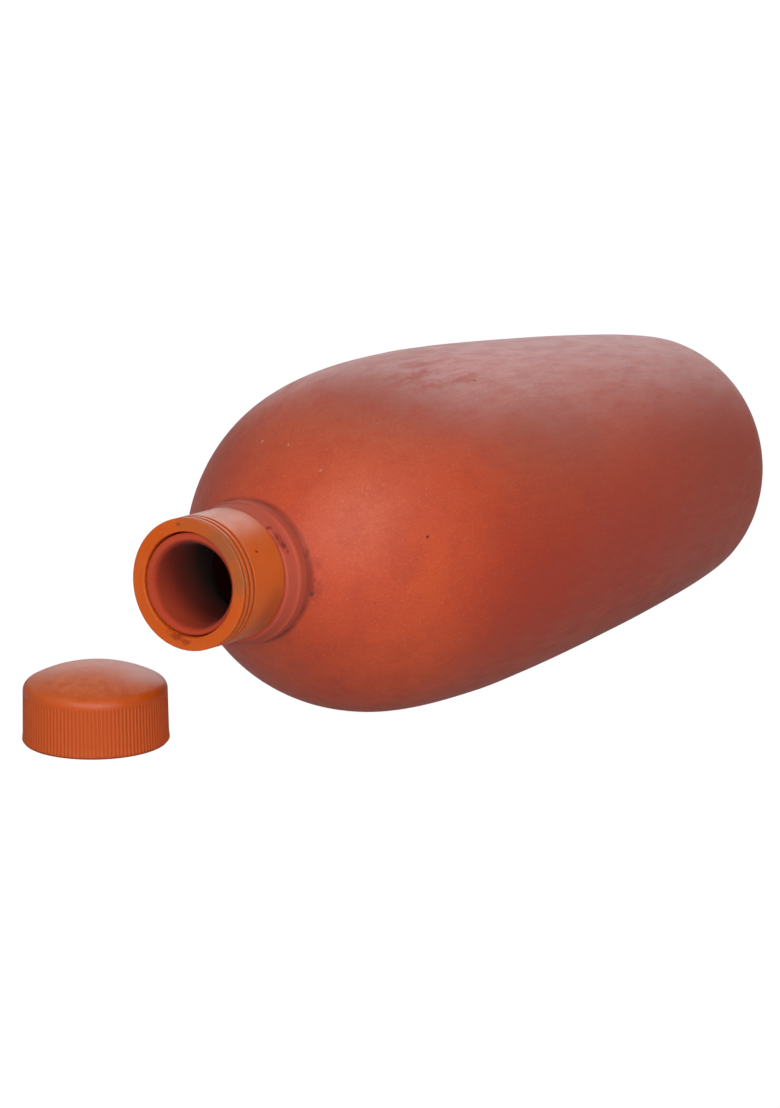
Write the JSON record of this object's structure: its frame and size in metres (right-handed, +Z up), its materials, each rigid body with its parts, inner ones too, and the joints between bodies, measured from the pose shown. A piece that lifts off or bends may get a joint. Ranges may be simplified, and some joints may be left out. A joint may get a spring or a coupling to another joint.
{
  "type": "clay water bottle",
  "caption": "Burnished terracotta water bottle lying on its side, with a threaded plastic ring on its neck and its ribbed, domed screw cap standing beside it.",
  "frame": {"origin": "on the surface that the bottle and the cap lie on, under the middle of the whole set's box", "axes": "+Z up; the bottle lies along Y with its mouth towards -Y and its foot towards +Y; the cap stands on the -X side of the neck"},
  "size_m": [0.12, 0.2548, 0.0982],
  "materials": {
    "clay": "burnished unglazed terracotta, satin",
    "ring_plastic": "moulded, satin",
    "adhesive": "cured, dull",
    "cap_plastic": "moulded, satin",
    "liner_foam": "foam sheet, dull"
  },
  "bodies": {
    "bottle": {"clay_body": "clay", "neck_ring": "ring_plastic", "ring_adhesive": "adhesive"},
    "liner": {"cap_liner": "liner_foam"},
    "cap": {"cap_shell": "cap_plastic"}
  },
  "joints": [
    {"name": "cap_lift", "type": "slide", "parent": "bottle", "child": "liner", "axis": [0, 0, 1], "range_m": [0, 0.1]},
    {"name": "cap_turn", "type": "hinge", "parent": "liner", "child": "cap", "pos_m": [-0.03996, -0.09728, 0.0141], "axis": [0, 0, 1], "continuous": true}
  ]
}
